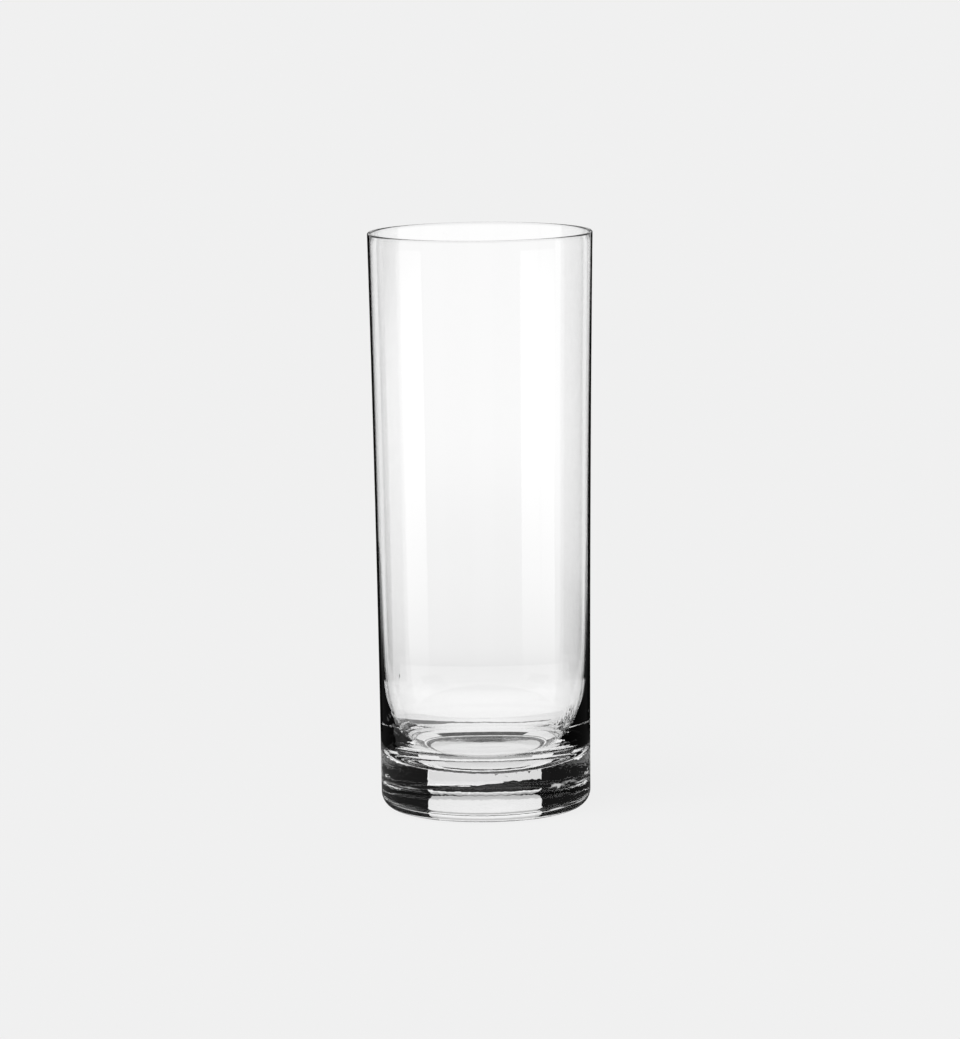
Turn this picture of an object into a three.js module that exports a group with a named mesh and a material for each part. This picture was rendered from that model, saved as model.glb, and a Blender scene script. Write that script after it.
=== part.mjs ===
import * as THREE from 'three';

// Tall tumbler for long drinks: one body of clear glass with a thick, solid base.
// Millimetres, +Z up. The glass stands on Z = 0 and its axis is Z.

// Outside
const HEIGHT = 160;
const RIM_DIAMETER = 61.9;
const BASE_DIAMETER = 58; // where the line of the wall would meet the table
const WALL_BOW = 0.27; // how far the wall bows in from a straight taper, halfway up

// Foot
const HEEL_RADIUS = 4.6; // the round between the wall and the underside
const FOOT_RING_WIDTH = 1.5; // flat ring that touches the table
const PUNT_DEPTH = 2.1; // hollow pressed up under the base
const PUNT_FLAT_RADIUS = 19; // its flat middle
const PUNT_STEP_FULLNESS = 0.6; // 0 slopes straight down to the ring, 1 drops to it at the end

// Inside
const WALL_THICKNESS = 1; // up to the rim, which is rounded over
const SHOULDER_THICKNESS = 2.6; // the wall where the rounded corner begins
const SHOULDER_LENGTH = 8; // how fast the wall thins above the corner
const CORNER_HEIGHT = 13.1; // the round between the wall and the drink's floor
const CORNER_WIDTH = 12;
const CORNER_FULLNESS = 0.6; // 0 cuts the corner straight off, 1 fills it right out
const BASE_THICKNESS = 12.7; // table to the edge of the drink's floor
const FLOOR_DISH = 1.6; // how far the floor sinks towards its middle

// Smoothness
const SIDES = 64;
const FLAT_STEPS = 4;
const ROUND_STEPS = 8;

const rimRadius = WALL_THICKNESS / 2;
const rimBase = HEIGHT - rimRadius;
const cornerTop = BASE_THICKNESS + CORNER_HEIGHT;

function outerRadius(z) {
  const share = z / HEIGHT;
  const taper = THREE.MathUtils.lerp(BASE_DIAMETER, RIM_DIAMETER, share) / 2;
  return taper - 4 * WALL_BOW * share * (1 - share);
}

function innerRadius(z) {
  const shoulder = (SHOULDER_THICKNESS - WALL_THICKNESS) * Math.exp((cornerTop - z) / SHOULDER_LENGTH);
  return outerRadius(z) - WALL_THICKNESS - shoulder;
}

function wallPoints(radiusAt, zFrom, zTo, steps) {
  return Array.from({ length: steps + 1 }, (_, i) => {
    const z = THREE.MathUtils.lerp(zFrom, zTo, i / steps);
    return new THREE.Vector2(radiusAt(z), z);
  });
}

// Underside: a flat hollow with a rounded step down to the foot ring, then the rounded heel out to the wall
function footPoints() {
  const ringOuter = outerRadius(HEEL_RADIUS) - HEEL_RADIUS;
  const ringInner = ringOuter - FOOT_RING_WIDTH;
  const middle = new THREE.Vector2(0, PUNT_DEPTH);
  const punt = new THREE.QuadraticBezierCurve(
    new THREE.Vector2(PUNT_FLAT_RADIUS, PUNT_DEPTH),
    new THREE.Vector2(THREE.MathUtils.lerp(PUNT_FLAT_RADIUS, ringInner, PUNT_STEP_FULLNESS), PUNT_DEPTH),
    new THREE.Vector2(ringInner, 0),
  );
  const heel = new THREE.EllipseCurve(
    ringOuter, HEEL_RADIUS, HEEL_RADIUS, HEEL_RADIUS, -Math.PI / 2, 0,
  );
  return [middle, ...punt.getPoints(ROUND_STEPS), ...heel.getPoints(ROUND_STEPS)];
}

function rimPoints() {
  const rim = new THREE.EllipseCurve(
    outerRadius(rimBase) - rimRadius, rimBase, rimRadius, rimRadius, 0, Math.PI,
  );
  return rim.getPoints(ROUND_STEPS);
}

// Inside the base: the wall turns through a rounded corner into the dished floor,
// and the corner leaves the wall and meets the floor along the slope of each
function floorPoints() {
  const top = new THREE.Vector2(innerRadius(cornerTop), cornerTop);
  const edge = new THREE.Vector2(top.x - CORNER_WIDTH, BASE_THICKNESS);
  const sunken = new THREE.Vector2(edge.x / 2, BASE_THICKNESS - FLOOR_DISH);
  const middle = new THREE.Vector2(0, sunken.y);
  const wallLean = (SHOULDER_THICKNESS - WALL_THICKNESS) / SHOULDER_LENGTH
    + (RIM_DIAMETER - BASE_DIAMETER) / 2 / HEIGHT;
  const floorLean = (edge.y - sunken.y) / (edge.x - sunken.x);
  const reachDown = CORNER_HEIGHT * CORNER_FULLNESS;
  const reachOut = CORNER_WIDTH * CORNER_FULLNESS;
  const corner = new THREE.CubicBezierCurve(
    top,
    new THREE.Vector2(top.x - wallLean * reachDown, top.y - reachDown),
    new THREE.Vector2(edge.x + reachOut, edge.y + floorLean * reachOut),
    edge,
  );
  const floor = new THREE.QuadraticBezierCurve(edge, sunken, middle);
  return [...corner.getPoints(ROUND_STEPS), ...floor.getPoints(FLAT_STEPS).slice(1)];
}

// The whole section, from the middle of the underside round to the middle of the floor
function section() {
  return [
    ...footPoints(),
    ...wallPoints(outerRadius, HEEL_RADIUS, rimBase, FLAT_STEPS).slice(1),
    ...rimPoints().slice(1),
    ...wallPoints(innerRadius, rimBase, cornerTop, ROUND_STEPS).slice(1, -1),
    ...floorPoints(),
  ];
}

const clearGlass = new THREE.MeshStandardMaterial({
  color: 0xf4f7f6,
  roughness: 0.03,
  metalness: 0,
  transparent: true,
  opacity: 0.35,
});

const body = new THREE.LatheGeometry(section(), SIDES);
body.rotateX(Math.PI / 2);
const tumbler = new THREE.Mesh(body, clearGlass);
tumbler.name = 'tumbler';

const glass = new THREE.Group();
glass.add(tumbler);

export default glass;
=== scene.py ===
import math
import bpy
from mathutils import Matrix, Vector


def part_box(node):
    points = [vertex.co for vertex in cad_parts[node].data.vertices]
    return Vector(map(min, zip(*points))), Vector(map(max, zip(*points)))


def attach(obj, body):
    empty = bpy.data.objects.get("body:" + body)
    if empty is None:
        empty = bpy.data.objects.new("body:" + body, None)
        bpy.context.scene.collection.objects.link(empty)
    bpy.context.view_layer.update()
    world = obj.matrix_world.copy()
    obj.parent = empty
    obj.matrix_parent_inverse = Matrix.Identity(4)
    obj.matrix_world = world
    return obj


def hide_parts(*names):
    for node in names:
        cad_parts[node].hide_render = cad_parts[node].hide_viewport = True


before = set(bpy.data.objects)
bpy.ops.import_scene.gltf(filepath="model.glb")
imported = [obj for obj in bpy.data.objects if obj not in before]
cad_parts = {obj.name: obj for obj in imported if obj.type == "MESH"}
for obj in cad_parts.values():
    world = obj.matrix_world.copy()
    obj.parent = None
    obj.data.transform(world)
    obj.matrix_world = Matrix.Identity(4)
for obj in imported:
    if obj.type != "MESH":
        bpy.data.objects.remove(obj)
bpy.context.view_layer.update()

scene = bpy.context.scene
scene.view_settings.view_transform = "Standard"
mm = 0.001


# Tumbler: one piece of clear, colourless soda-lime glass, pressed and blown in a mould.
# The wall is thin and the base thick and solid, and the rim is melted round by a flame.
# The plunger and the mould leave the heel and the base slightly uneven.
lowest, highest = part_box("tumbler")
height = highest.z
rim_outer = (highest.x - lowest.x) / 2
base_outer = 29.0 * mm
wall_bow = 0.27 * mm
heel = 4.6 * mm
foot_ring = 1.5 * mm
punt, punt_flat, punt_step = 2.1 * mm, 19 * mm, 0.6
wall = 1.0 * mm
shoulder, shoulder_fade = 2.6 * mm, 8 * mm
corner_high, corner_wide, corner_full = 13.1 * mm, 12 * mm, 0.6
floor_edge_high, floor_dish = 12.7 * mm, 1.6 * mm
rim_round = wall / 2
rim_base = height - rim_round
corner_top = floor_edge_high + corner_high


def outer_radius(z):
    share = z / height
    return base_outer + (rim_outer - base_outer) * share - 4 * wall_bow * share * (1 - share)


def inner_radius(z):
    thicker = (shoulder - wall) * math.exp((corner_top - z) / shoulder_fade)
    return outer_radius(z) - wall - thicker


def shares(count):
    return [i / count for i in range(count + 1)]


def bend(points, count):
    """A Bezier curve through its control points, by repeated halving of shares."""
    curve = []
    for t in shares(count):
        row = [Vector(p) for p in points]
        while len(row) > 1:
            row = [a.lerp(b, t) for a, b in zip(row, row[1:])]
        curve.append(row[0])
    return curve


ring_outer = outer_radius(heel) - heel
ring_inner = ring_outer - foot_ring
corner = Vector((inner_radius(corner_top), corner_top))
floor_edge = Vector((corner.x - corner_wide, floor_edge_high))
sunken = Vector((floor_edge.x / 2, floor_edge_high - floor_dish))
wall_lean = (shoulder - wall) / shoulder_fade + (rim_outer - base_outer) / height
floor_lean = floor_dish / sunken.x
reach_down, reach_out = corner_high * corner_full, corner_wide * corner_full

# the section runs from the middle of the underside out, up, over the rim and down to the floor
section = bend([(0, punt), (punt_flat, punt)], 10)[:-1]
punt_turn = punt_flat + (ring_inner - punt_flat) * punt_step
section += bend([(punt_flat, punt), (punt_turn, punt), (ring_inner, 0)], 24)
for t in shares(36):
    turn = math.pi / 2 * t
    section.append(Vector((ring_outer + heel * math.sin(turn), heel * (1 - math.cos(turn)))))
for t in shares(90)[1:]:
    z = heel + (rim_base - heel) * t ** 1.5
    section.append(Vector((outer_radius(z), z)))
for t in shares(16)[1:]:
    turn = math.pi * t
    section.append(Vector((outer_radius(rim_base) - rim_round + rim_round * math.cos(turn),
                           rim_base + rim_round * math.sin(turn))))
for t in shares(90)[1:-1]:
    z = corner_top + (rim_base - corner_top) * (1 - t) ** 1.3
    section.append(Vector((inner_radius(z), z)))
section += bend([corner,
                 (corner.x - wall_lean * reach_down, corner.y - reach_down),
                 (floor_edge.x + reach_out, floor_edge.y + floor_lean * reach_out),
                 floor_edge], 44)
section += bend([floor_edge, sunken, (0, sunken.y)], 26)[1:]

glass = bpy.data.materials.new("clear_glass")
glass.use_nodes = True
nodes, links = glass.node_tree.nodes, glass.node_tree.links
body = nodes["Principled BSDF"]
body.inputs["Base Color"].default_value = (1, 1, 1, 1)
body.inputs["Transmission Weight"].default_value = 1
body.inputs["IOR"].default_value = 1.52
place = nodes.new("ShaderNodeTexCoord")
smears = nodes.new("ShaderNodeTexNoise")
smears.inputs["Scale"].default_value = 55
smears.inputs["Detail"].default_value = 4
links.new(place.outputs["Object"], smears.inputs["Vector"])
polish = nodes.new("ShaderNodeMapRange")
polish.inputs["From Min"].default_value = 0.45
polish.inputs["From Max"].default_value = 0.75
polish.inputs["To Min"].default_value = 0.0
polish.inputs["To Max"].default_value = 0.012
links.new(smears.outputs["Fac"], polish.inputs["Value"])
links.new(polish.outputs["Result"], body.inputs["Roughness"])


def add(tree, kind, inputs, **settings):
    """Adds one node; inputs are sockets of other nodes or plain values, by name or place."""
    made = tree.nodes.new(kind)
    for key, value in settings.items():
        setattr(made, key, value)
    for key, value in inputs.items():
        if isinstance(value, bpy.types.NodeSocket):
            tree.links.new(value, made.inputs[key])
        else:
            made.inputs[key].default_value = value
    return made.outputs


def part(kind, inputs, **settings):
    return add(glass.node_tree, kind, inputs, **settings)


def grain(size, depth, seed):
    """Height of a random unevenness of this size, up to this depth."""
    noise = part("ShaderNodeTexNoise", {"Vector": place.outputs["Object"], "W": seed, "Scale": 1 / size,
                                        "Detail": 1.0}, noise_dimensions="4D")
    return part("ShaderNodeMath", {0: noise["Fac"], 1: depth}, operation="MULTIPLY")[0]


def near_spot(spot, reach):
    """1 at a spot on the glass, fading to 0 at this distance from it."""
    away = part("ShaderNodeVectorMath", {0: place.outputs["Object"], 1: spot}, operation="DISTANCE")["Value"]
    return part("ShaderNodeMapRange", {"Value": away, "From Min": reach, "From Max": 0.3 * reach},
                interpolation_type="SMOOTHSTEP")["Result"]


# the base has a fine grain from the mould, and deeper uneven spots where the glass was pressed last
high_up = part("ShaderNodeSeparateXYZ", {0: place.outputs["Object"]})["Z"]
low_down = part("ShaderNodeMapRange", {"Value": high_up, "From Min": 24 * mm, "From Max": 16 * mm})["Result"]
relief = part("ShaderNodeMath", {0: low_down, 1: grain(1.5 * mm, 0.024 * mm, 1.0)}, operation="MULTIPLY")[0]
for spot, reach, size, depth, seed in (
        ((22 * mm, -19 * mm, 9 * mm), 9 * mm, 4 * mm, 0.15 * mm, 2.0),
        ((23.5 * mm, 5 * mm, 20 * mm), 8 * mm, 2 * mm, 0.5 * mm, 3.0),
        ((-25 * mm, -13 * mm, 24 * mm), 6 * mm, 2.2 * mm, 0.12 * mm, 4.0)):
    lump = part("ShaderNodeMath", {0: near_spot(spot, reach), 1: grain(size, depth, seed)},
                operation="MULTIPLY")[0]
    relief = part("ShaderNodeMath", {0: relief, 1: lump}, operation="ADD")[0]
bumpy = part("ShaderNodeBump", {"Strength": 1.0, "Distance": 1.0, "Height": relief})
links.new(bumpy["Normal"], body.inputs["Normal"])
# light gets through the glass to the table, so its shadow there is faint
path = nodes.new("ShaderNodeLightPath")
shade = nodes.new("ShaderNodeMath")
shade.operation = "MULTIPLY"
shade.inputs[1].default_value = 0.97
links.new(path.outputs["Is Shadow Ray"], shade.inputs[0])
clear = nodes.new("ShaderNodeBsdfTransparent")
both = nodes.new("ShaderNodeMixShader")
links.new(shade.outputs["Value"], both.inputs["Fac"])
links.new(body.outputs["BSDF"], both.inputs[1])
links.new(clear.outputs["BSDF"], both.inputs[2])
links.new(both.outputs["Shader"], nodes["Material Output"].inputs["Surface"])

spin = bpy.data.node_groups.new("spin_glass", "GeometryNodeTree")
spin.is_modifier = True
spin.interface.new_socket("Geometry", in_out="OUTPUT", socket_type="NodeSocketGeometry")
spin.interface.new_socket("Section", in_out="INPUT", socket_type="NodeSocketGeometry")
sizes = {
    "Sides": ("NodeSocketInt", 256),
    "Heel lift": ("NodeSocketFloat", 0.1),
    "Heel lift direction": ("NodeSocketFloat", math.radians(62)),
    "Heel lift reach": ("NodeSocketFloat", 13 * mm),
    "Ripple depth": ("NodeSocketFloat", 0.02 * mm),
    "Ripple length": ("NodeSocketFloat", 7 * mm),
    "Ripple reach": ("NodeSocketFloat", 22 * mm),
    "Ripple seed": ("NodeSocketFloat", 3.7),
    "Glass": ("NodeSocketMaterial", glass),
}
for name, (kind, value) in sizes.items():
    spin.interface.new_socket(name, in_out="INPUT", socket_type=kind)
given = spin.nodes.new("NodeGroupInput").outputs


def step(kind, inputs, **settings):
    return add(spin, kind, inputs, **settings)


def sum_of(operation, *values):
    return step("ShaderNodeMath", dict(enumerate(values)), operation=operation)[0]


ring = step("GeometryNodeCurvePrimitiveCircle",
            {"Resolution": given["Sides"], "Radius": 0.001 * mm}, mode="RADIUS")
profile = step("GeometryNodeMeshToCurve", {"Mesh": given["Section"]})
spun = step("GeometryNodeCurveToMesh", {"Curve": ring["Curve"], "Profile Curve": profile["Curve"]})
closed = step("GeometryNodeMergeByDistance", {"Geometry": spun["Mesh"], "Distance": 0.01 * mm})
# the heel is lifted a little towards one side, as in a mould that is not quite level
spot = step("ShaderNodeSeparateXYZ", {0: step("GeometryNodeInputPosition", {})[0]})
radius = sum_of("SQRT", sum_of("ADD", sum_of("MULTIPLY", spot["X"], spot["X"]),
                               sum_of("MULTIPLY", spot["Y"], spot["Y"])))
facing = sum_of("SUBTRACT", sum_of("ARCTAN2", spot["Y"], spot["X"]), given["Heel lift direction"])
share_up = sum_of("DIVIDE", spot["Z"], given["Heel lift reach"])
near_table = sum_of("MAXIMUM", sum_of("SUBTRACT", 1.0, share_up), 0.0)
near_edge = step("ShaderNodeMapRange", {0: radius, 1: 15 * mm, 2: 23 * mm})[0]
lift = sum_of("MULTIPLY", sum_of("MULTIPLY", given["Heel lift"], sum_of("COSINE", facing)),
              sum_of("MULTIPLY", sum_of("MULTIPLY", spot["Z"], near_edge),
                     sum_of("MULTIPLY", near_table, near_table)))
lifted = step("GeometryNodeSetPosition",
              {"Geometry": closed["Geometry"], "Offset": step("ShaderNodeCombineXYZ", {"Z": lift})[0]})
# shallow ripples stay in the base, where the thick glass cools slowest
often = sum_of("DIVIDE", 1.0, given["Ripple length"])
wave = step("ShaderNodeTexNoise", {"W": given["Ripple seed"], "Scale": often, "Detail": 2.0},
            noise_dimensions="4D")
swell = sum_of("SUBTRACT", wave[0], 0.5)
height_now = step("ShaderNodeSeparateXYZ", {0: step("GeometryNodeInputPosition", {})[0]})["Z"]
sunk = sum_of("DIVIDE", sum_of("MULTIPLY", height_now, -1.0), given["Ripple reach"])
dying_up = sum_of("POWER", math.e, sunk)
off_table = step("ShaderNodeMapRange", {0: height_now, 1: 0.2 * mm, 2: 1.5 * mm})[0]
ripple = sum_of("MULTIPLY", sum_of("MULTIPLY", swell, given["Ripple depth"]),
                sum_of("MULTIPLY", dying_up, off_table))
outward = step("ShaderNodeVectorMath", {0: step("GeometryNodeInputNormal", {})[0], "Scale": ripple},
               operation="SCALE")["Vector"]
rippled = step("GeometryNodeSetPosition", {"Geometry": lifted["Geometry"], "Offset": outward})
smooth = step("GeometryNodeSetShadeSmooth", {"Geometry": rippled["Geometry"]})
real = step("GeometryNodeRealizeInstances", {"Geometry": smooth["Geometry"]})
coated = step("GeometryNodeSetMaterial", {"Geometry": real["Geometry"], "Material": given["Glass"]})
spin.links.new(coated["Geometry"], spin.nodes.new("NodeGroupOutput").inputs["Geometry"])

line = bpy.data.meshes.new("section")
# the sweep takes the section lying down, with its height along -Y
line.from_pydata([(p.x, -p.y, 0) for p in reversed(section)],
                 [(i, i + 1) for i in range(len(section) - 1)], [])
turned = bpy.data.objects.new("section", line)
scene.collection.objects.link(turned)
shaping = turned.modifiers.new("spin", "NODES")
shaping.node_group = spin
for socket in spin.interface.items_tree:
    if socket.in_out == "INPUT" and socket.name in sizes:
        shaping[socket.identifier] = sizes[socket.name][1]
spun_mesh = bpy.data.meshes.new_from_object(turned.evaluated_get(bpy.context.evaluated_depsgraph_get()))
bpy.data.objects.remove(turned)
tumbler = bpy.data.objects.new("tumbler_glass", spun_mesh)
scene.collection.objects.link(tumbler)
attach(tumbler, "root")
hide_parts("tumbler")
tumbler.visible_diffuse = False


# Table: a wide, pale matt sheet that the glass stands on and that fills the background.
# The glass neither shows nor mirrors it: cards and papers in the next section take its place there.
table_half = 20.0
sheet = bpy.data.meshes.new("table")
sheet.from_pydata([(x, y, 0) for x, y in ((-1, -1), (1, -1), (1, 1), (-1, 1))], [], [(0, 1, 2, 3)])
sheet.transform(Matrix.Scale(table_half, 4))
table = bpy.data.objects.new("table", sheet)
scene.collection.objects.link(table)
matt = bpy.data.materials.new("pale_matt")
matt.use_nodes = True
matt.node_tree.nodes["Principled BSDF"].inputs["Base Color"].default_value = (0.8, 0.8, 0.8, 1)
matt.node_tree.nodes["Principled BSDF"].inputs["Roughness"].default_value = 1
matt.node_tree.nodes["Principled BSDF"].inputs["Specular IOR Level"].default_value = 0
sheet.materials.append(matt)
table.visible_transmission = False
table.visible_glossy = False


# Light: a pale room and one soft lamp light the table, and the glass alone sees a set of cards.
# Far off are a lit panel behind it, black on both sides of that, pale cloth elsewhere and two light boxes.
# Strips, bars, sheets and papers close by, fitted by trial, draw its dark lines and the pattern in its base,
# and some of them are painted shade and shadows on the table.
room = bpy.data.worlds.new("pale_room")
room.use_nodes = True
scene.world = room
ray = room.node_tree.nodes.new("ShaderNodeLightPath")
seen = room.node_tree.nodes.new("ShaderNodeMath")
seen.operation = "MAXIMUM"
room.node_tree.links.new(ray.outputs["Is Camera Ray"], seen.inputs[0])
through = room.node_tree.nodes.new("ShaderNodeMath")
through.operation = "MAXIMUM"
room.node_tree.links.new(ray.outputs["Is Glossy Ray"], through.inputs[0])
room.node_tree.links.new(ray.outputs["Is Transmission Ray"], through.inputs[1])
room.node_tree.links.new(through.outputs[0], seen.inputs[1])
tone = room.node_tree.nodes.new("ShaderNodeMix")
tone.data_type = "RGBA"
tone.inputs["A"].default_value = (0.7, 0.7, 0.7, 1)
tone.inputs["B"].default_value = (0.88, 0.88, 0.88, 1)
room.node_tree.links.new(seen.outputs[0], tone.inputs["Factor"])
room.node_tree.links.new(tone.outputs["Result"], room.node_tree.nodes["Background"].inputs["Color"])

lamp = bpy.data.objects.new("soft_lamp", bpy.data.lights.new("soft_lamp", "SUN"))
lamp.data.energy = 1.35
lamp.data.angle = math.radians(40)
lamp.rotation_euler = (math.radians(20), math.radians(-15), 0)
lamp.visible_glossy = False
lamp.visible_transmission = False
scene.collection.objects.link(lamp)


def hang(name, points, faces, spots, stops, covers, one_sided, through, mirrored):
    """Puts up one card. Its brightness follows the stops up its own UV, the covers fade its edges,
    and through and mirrored say whether it shows through the glass and in its reflections."""
    mesh = bpy.data.meshes.new(name)
    mesh.from_pydata(points, [], faces)
    uv = mesh.uv_layers.new(name="UVMap").data
    for loop in mesh.loops:
        uv[loop.index].uv = spots[loop.vertex_index]
    made = bpy.data.objects.new(name, mesh)
    scene.collection.objects.link(made)
    made.visible_camera = made.visible_diffuse = made.visible_shadow = False
    made.visible_transmission, made.visible_glossy = through, mirrored
    look = bpy.data.materials.new(name)
    look.use_nodes = True
    look.cycles.emission_sampling = "NONE"
    tree = look.node_tree
    tree.nodes.clear()
    split = add(tree, "ShaderNodeSeparateXYZ", {0: add(tree, "ShaderNodeUVMap", {})["UV"]})
    brightest = max(level for share, level in stops)
    ramp = tree.nodes.new("ShaderNodeValToRGB")
    while len(ramp.color_ramp.elements) < len(stops):
        ramp.color_ramp.elements.new(1.0)
    for stop, (share, level) in zip(ramp.color_ramp.elements, stops):
        stop.position = share
        stop.color = (level / brightest,) * 3 + (1,)
    tree.links.new(split["Y"], ramp.inputs["Fac"])
    surface = add(tree, "ShaderNodeEmission", {"Color": ramp.outputs["Color"], "Strength": brightest})[0]
    shown = [add(tree, "ShaderNodeMapRange", {"Value": split[axis], "From Min": end, "From Max": edge},
                 interpolation_type="SMOOTHSTEP")["Result"] for axis, end, edge in covers]
    if one_sided:
        behind = add(tree, "ShaderNodeNewGeometry", {})["Backfacing"]
        shown.append(add(tree, "ShaderNodeMath", {0: 1.0, 1: behind}, operation="SUBTRACT")[0])
    for share in shown:
        gone = add(tree, "ShaderNodeBsdfTransparent", {})[0]
        surface = add(tree, "ShaderNodeMixShader", {0: share, 1: gone, 2: surface})[0]
    add(tree, "ShaderNodeOutputMaterial", {"Surface": surface})
    mesh.materials.append(look)


def card(name, distance, left_right, low_high, levels, soft=(0, 0), through=True, mirrored=True):
    """A curved card round the glass: degrees to the left of straight behind and above the horizon,
    its brightness at some of those heights, and the degrees over which its edges fade."""
    az0, az1 = left_right
    el0, el1 = low_high
    grid = 3  # degrees
    across, up = max(2, round(abs(az1 - az0) / grid)), max(2, round((el1 - el0) / grid))
    points, spots = [], []
    for v in shares(up):
        for u in shares(across):
            a, e = math.radians(az0 + (az1 - az0) * u), math.radians(el0 + (el1 - el0) * v)
            points.append((-math.sin(a) * math.cos(e) * distance, math.cos(a) * math.cos(e) * distance,
                           math.sin(e) * distance))
            spots.append((u, v))
    row = across + 1
    faces = [(i + j * row, i + 1 + j * row, i + 1 + (j + 1) * row, i + (j + 1) * row)
             for j in range(up) for i in range(across)]
    stops = [(min(max((high - el0) / (el1 - el0), 0), 1), level) for high, level in levels]
    covers = []
    for axis, fade, span in (("X", soft[0], abs(az1 - az0)), ("Y", soft[1], el1 - el0)):
        if fade:
            covers += [(axis, 0.0, fade / span), (axis, 1.0, 1 - fade / span)]
    hang(name, points, faces, spots, stops, covers, False, through, mirrored)


def near_card(name, rows, levels, through=False, mirrored=True, one_sided=False):
    """A card close to the glass, from the points along its first and last edge, or several such slats,
    with its brightness at shares of the way between them; a one-sided card shows only its face."""
    row = len(rows[0])
    points = [point for edge in rows for point in edge]
    faces = [(i, i + 1, i + 1 + row, i + row)
             for slat in range(0, len(rows), 2) for i in range(slat * row, slat * row + row - 1)]
    spots = [(0.5, i // row % 2) for i in range(len(points))]
    hang(name, points, faces, spots, levels, [], one_sided, through, mirrored)


def paper(name, left_right, reach, levels, through=False, mirrored=True, high=0.1 * mm):
    """Card lying on the table round the foot: degrees to the left of straight behind."""
    az0, az1 = (math.radians(x) for x in left_right)
    turns = [az0 + (az1 - az0) * u for u in shares(60)]
    near_card(name, [[(-math.sin(a) * r, math.cos(a) * r, high) for a in turns] for r in reach],
              levels, through, mirrored)


def flag(name, side, near_far, low_high, levels, slats=1, turned_back=0.0):
    """A strip standing beside the glass that follows its outline: side is -1 left or 1 right, and
    near_far are its distances from the glass, each at the strip's foot and top. Slats that are
    turned back from the glass show only to what looks along the glass from the front."""
    slat_deep, behind_middle = 4 * mm, 2 * mm
    near, far = near_far
    low, high = low_high
    rows = []
    for slat in range(slats):
        for end in (0, 1):
            across, out, back = end, 0, 0
            if turned_back:
                across = slat / slats
                out, back = end * slat_deep * math.sin(turned_back), end * slat_deep * math.cos(turned_back)
            edge = []
            for u in shares(12)[::-side]:
                z = low + (high - low) * u
                inner, outer = (foot + (top - foot) * u for foot, top in (near, far))
                off = inner + (outer - inner) * across + out
                edge.append((side * (outer_radius(z) + off), behind_middle + back, z))
            rows.append(edge)
    near_card(name, rows, levels, through=True, one_sided=bool(turned_back))


def upright(across, y, low_high):
    return [[(x * mm, y * mm, z * mm) for x in across] for z in low_high]


def even(level):
    return [(0, level), (1, level)]


left_edge, right_edge = 23.0, -24.3
# what shows through the glass
card("black_room", 6.4, (-180, 180), (-32, 88), even(0.006), mirrored=False)
card("panel", 6.2, (right_edge, left_edge), (-32, 88),
     [(-32, 0.945), (-20, 0.945), (-16, 0.9), (-13, 0.79), (-11, 0.86), (-10.4, 0.88), (-8.9, 0.905),
      (-8.3, 0.925), (-7.8, 0.93), (-7.2, 0.95), (-7.0, 0.96), (-6.6, 0.985), (-6.4, 0.995), (-5.9, 1.0),
      (0, 1.0), (5, 0.95), (8, 0.88), (11, 0.89), (12.7, 0.85), (14, 0.6), (19, 0.52),
      (26, 0.4), (34, 0.1), (88, 0.02)], mirrored=False)
card("panel_above", 6.2, (right_edge, left_edge), (8, 60), [(8, 1.0), (40, 1.0), (60, 0.6)], through=False)
card("window_round", 6.15, (80, 280), (-17, 5), even(0.9), soft=(3, 0), mirrored=False)
card("window_low", 6.2, (-180, 180), (-33, -16), even(0.9), soft=(0, 1), mirrored=False)
card("glint_near", 6.0, (25, 38), (-1, 9), even(0.6), soft=(5, 4), mirrored=False)
card("glint_far", 6.0, (46, 68), (1, 9), even(0.5), soft=(7, 3), mirrored=False)
card("glint_low", 6.0, (34, 52), (-4, 2), even(0.25), soft=(5, 2), mirrored=False)
card("glint_right", 6.0, (-60, -27), (4.5, 9), even(0.35), soft=(8, 2), mirrored=False)
# what it mirrors
card("grey_room", 6.3, (-180, 180), (-30, 62), even(0.25), through=False)
# the table in front, as the glass mirrors it, is painted dim: painted shade on the side away from the lit
# panel
card("table_before", 5.5, (135, 225), (-60, -10.3), even(0.5), soft=(20, 0), through=False)
card("dark_behind", 6.1, (-27, 27), (-13, 3), even(0.02), through=False)
card("pale_left", 6.0, (27, 64), (-13, 3),
     [(-13, 0.02), (-9.5, 0.03), (-9.1, 0.15), (-8.9, 0.42), (-8.3, 0.75), (-7.4, 1.0), (3, 1.1)],
     through=False)
card("pale_right", 6.0, (-97, -27), (-13, 3),
     [(-13, 0.02), (-9.3, 0.03), (-8.9, 0.2), (-8.5, 0.85), (-8, 1.1), (3, 1.15)], through=False)
box_levels = [(-11, 0.25), (-10.2, 0.45), (-9.7, 0.9), (-9, 1.6), (-8.3, 2.0), (-6.35, 2.0), (-5.75, 1.6),
              (-4.9, 0.55), (-4.4, 0.3)]
card("box_left", 5.8, (118, 60), (-11, -4.4), box_levels, soft=(2, 0), through=False)
card("box_right", 5.8, (-139, -97), (-11, -4.4), box_levels, soft=(1, 0), through=False)
# paper on the table, which only the foot mirrors: dark, and pale under its front; round the rest of the foot
# a dark ring is a painted shadow where the foot meets the table
paper_reach = 31 * mm, 110 * mm
paper("paper_left", (left_edge, 83), paper_reach, even(0.13))
paper("paper_left_front", (83, 140), paper_reach, even(0.1))
paper("paper_right", (-140, right_edge), paper_reach, even(0.06))
foot_reach, foot_high = (25.2 * mm, 31 * mm), 0.03 * mm
# painted contact shadow: a near-black ring on the table just round the foot, which the heel mirrors
paper("foot_contact_shadow", (-150, 150), foot_reach, even(0.03), high=foot_high)
paper("table_foot", (150, 210), foot_reach, even(0.85), high=foot_high)
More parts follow.
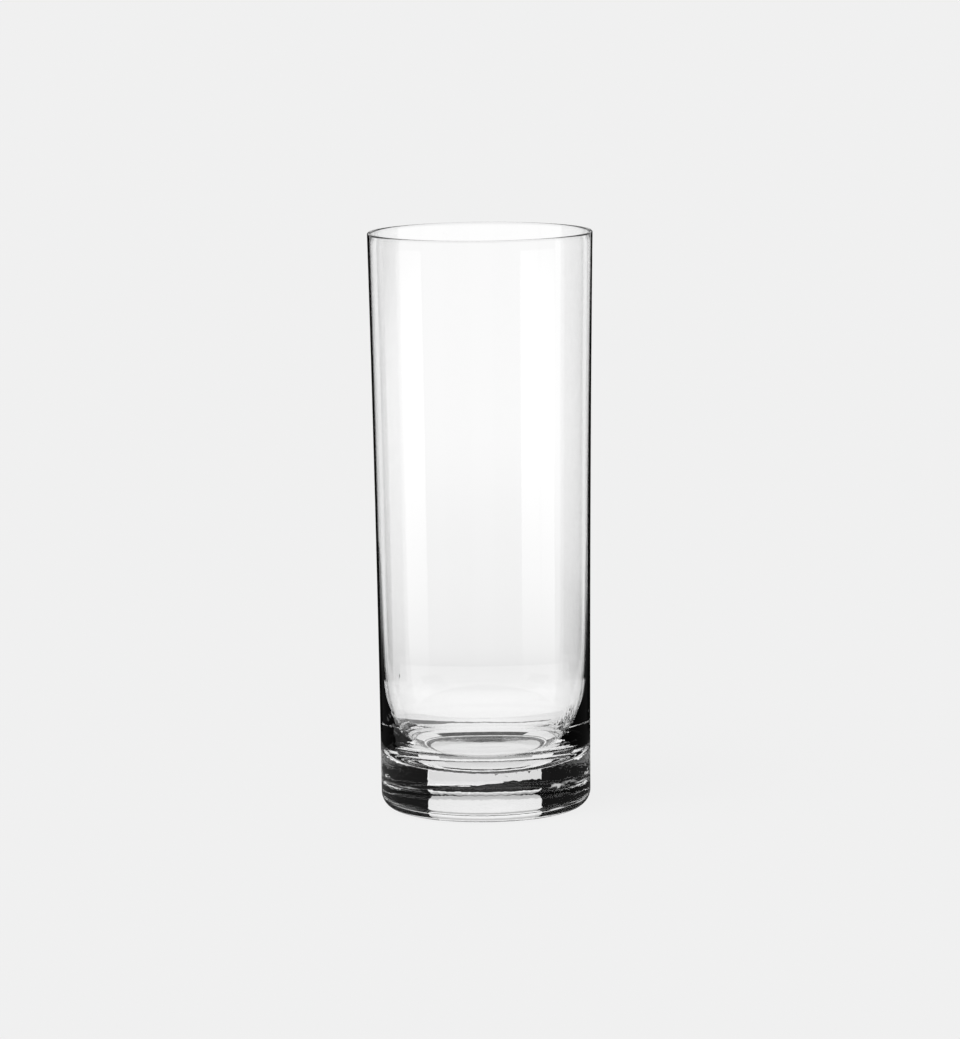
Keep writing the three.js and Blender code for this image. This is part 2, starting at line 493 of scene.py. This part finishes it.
# the table under the glass, as the base shows it: pale in the middle and behind, with a painted contact
# shadow in a narrow dark ring just behind the foot, dark at the sides, and painted shade in front of the
# middle, where the glass hides the light
paper("table_under", (-180, 180), (0.1 * mm, 24 * mm), even(0.8), through=True, mirrored=False)
# behind the foot: the inner edge is a near-black ring, a painted contact shadow, and the rest is pale
paper("table_back", (-32, 38), (24 * mm, 46 * mm), [(0, 0.03), (0.22, 0.03), (0.26, 0.93), (1, 0.93)],
      through=True, mirrored=False)
paper("table_left", (75, 110), (24 * mm, 50 * mm), even(0.02), through=True, mirrored=False)
paper("table_right", (-110, -75), (24 * mm, 50 * mm), even(0.02), through=True, mirrored=False)
paper("table_front", (135, 225), (8 * mm, 36 * mm),
      [(0, 0.9), (0.14, 0.78), (0.43, 0.7), (0.57, 0.35), (0.71, 0.45), (1, 0.9)],
      through=True, mirrored=False, high=0.2 * mm)
# a dark line on it behind the glass: degrees to the left, and the near and far distance there
dark_line = [(45, 35, 42), (35, 35, 42), (25, 36, 42), (15, 38.5, 41), (0, 39, 40.5), (-30, 39, 40.5)]
line_edges = [], []
for turn, *reach in dark_line:
    a = math.radians(turn)
    for edge, r in zip(line_edges, reach):
        edge.append((-math.sin(a) * r * mm, math.cos(a) * r * mm, 0.2 * mm))
near_card("table_line", line_edges, even(0.2), through=True, mirrored=False)
# the table further back, sunk a little so that the heel looks along under it; it is painted a little darker
# than the table, as the glass's faint shadow on it, and the black patch laid on it next is a painted shadow
# too
table_slope, slope_from, slope_high = math.tan(math.radians(8.5)), 40, 2.9


def far_table(x, y, over=0.0):
    return (x * mm, y * mm, (slope_high + over - (y - slope_from) * table_slope) * mm)


near_card("table_behind", [[far_table(-1.5, 43), far_table(1.5, 43)],
                           [far_table(-30.1, 110), far_table(31.5, 110)]],
          even(0.76), through=True, mirrored=False, one_sided=True)
shade_over = 0.05
shade_end = [(0, 40.5), (-3.1, 50), (-7.3, 56), (-12, 60)]
near_card("table_shade", [[far_table(x, slope_from, shade_over) for x in (1, 0, -1.5, -3)],
                          [far_table(x, y, shade_over) for x, y in shade_end]],
          even(0.008), through=True, mirrored=False, one_sided=True)
# a pale sheet sloping up behind the glass, which the wall shows just above the base; its tone, lightest near
# the glass and darker further back, is painted light and shade on the table there
sheet_half = 32 * mm
near_card("sloping_sheet", [[(-sheet_half, 38.5 * mm, 6.8 * mm), (sheet_half, 38.5 * mm, 6.8 * mm)],
                            [(-sheet_half, 104 * mm, 17 * mm), (sheet_half, 104 * mm, 17 * mm)]],
          [(0, 1.0), (0.4, 1.0), (0.7, 0.9), (1, 0.87)], through=True, mirrored=False, one_sided=True)
# two low black bars under that sheet draw the dark line across the base, over the table's pale far edge
bar_off, bar_top = 104 * mm, 11.2 * mm
bar_foot = [(33, -0.9), (8, -0.9), (0, -4.6), (-4, -6.5), (-9, -10.5), (-34, -12)]
near_card("low_bar", [[(x * mm, bar_off, z * mm) for x, z in bar_foot],
                      [(x * mm, bar_off, bar_top) for x, z in bar_foot]], even(0.008), through=True)
near_card("near_bar", upright((-8.6, 8.4), 60, (2.4, 7.4)), even(0.008), through=True, mirrored=False)
near_card("table_edge", upright((-30.9, 32.4), 112, (-16, -6)), even(0.82), through=True, mirrored=False)
# black strips beside the glass draw the dark lines down its edges, and pale ones keep them thin
slat_turn = math.radians(36)
touching, outermost = (0.05 * mm, 0.05 * mm), (11 * mm, 11 * mm)
whole_wall, upper_wall, lower_wall = (20 * mm, height), (75 * mm, height), (28 * mm, 75 * mm)
flag("black_left", -1, (touching, (3.1 * mm, 3.3 * mm)), whole_wall, even(0.006), 4, slat_turn)
flag("black_right", 1, (touching, (5.0 * mm, 2.4 * mm)), whole_wall, even(0.006), 5, slat_turn)
flag("white_left", -1, ((3.2 * mm, 3.3 * mm), outermost), upper_wall, even(0.75))
flag("white_left_low", -1, ((10.9 * mm, 3.2 * mm), outermost), lower_wall, even(0.75))
flag("white_right", 1, ((4 * mm, 2.4 * mm), outermost), upper_wall, even(0.8))
flag("white_right_low", 1, ((10.9 * mm, 4 * mm), outermost), lower_wall, even(0.8))


# Camera: a long lens that looks 8 degrees down on the glass from 1.4 m, tipped a little to one side.
# Its place is counted in heights of the glass.
image_high, focal_pixels = 1039, 5278
pitch, roll = math.radians(8.01), math.radians(-0.66)
camera = bpy.data.objects.new("camera", bpy.data.cameras.new("camera"))
camera.data.sensor_width = 36
camera.data.lens = camera.data.sensor_width * focal_pixels / image_high
ahead = Vector((0, math.cos(pitch), -math.sin(pitch)))
right = Vector((1, 0, 0))
up = right.cross(ahead)
tipped_right = right * math.cos(roll) + up * math.sin(roll)
tipped_up = up * math.cos(roll) - right * math.sin(roll)
heights_away = Vector((-0.0052, -9.023, 1.771))
camera.matrix_world = Matrix.Translation(heights_away * height) @ Matrix(
    (tipped_right, tipped_up, -ahead)).transposed().to_4x4()
scene.collection.objects.link(camera)
scene.camera = camera
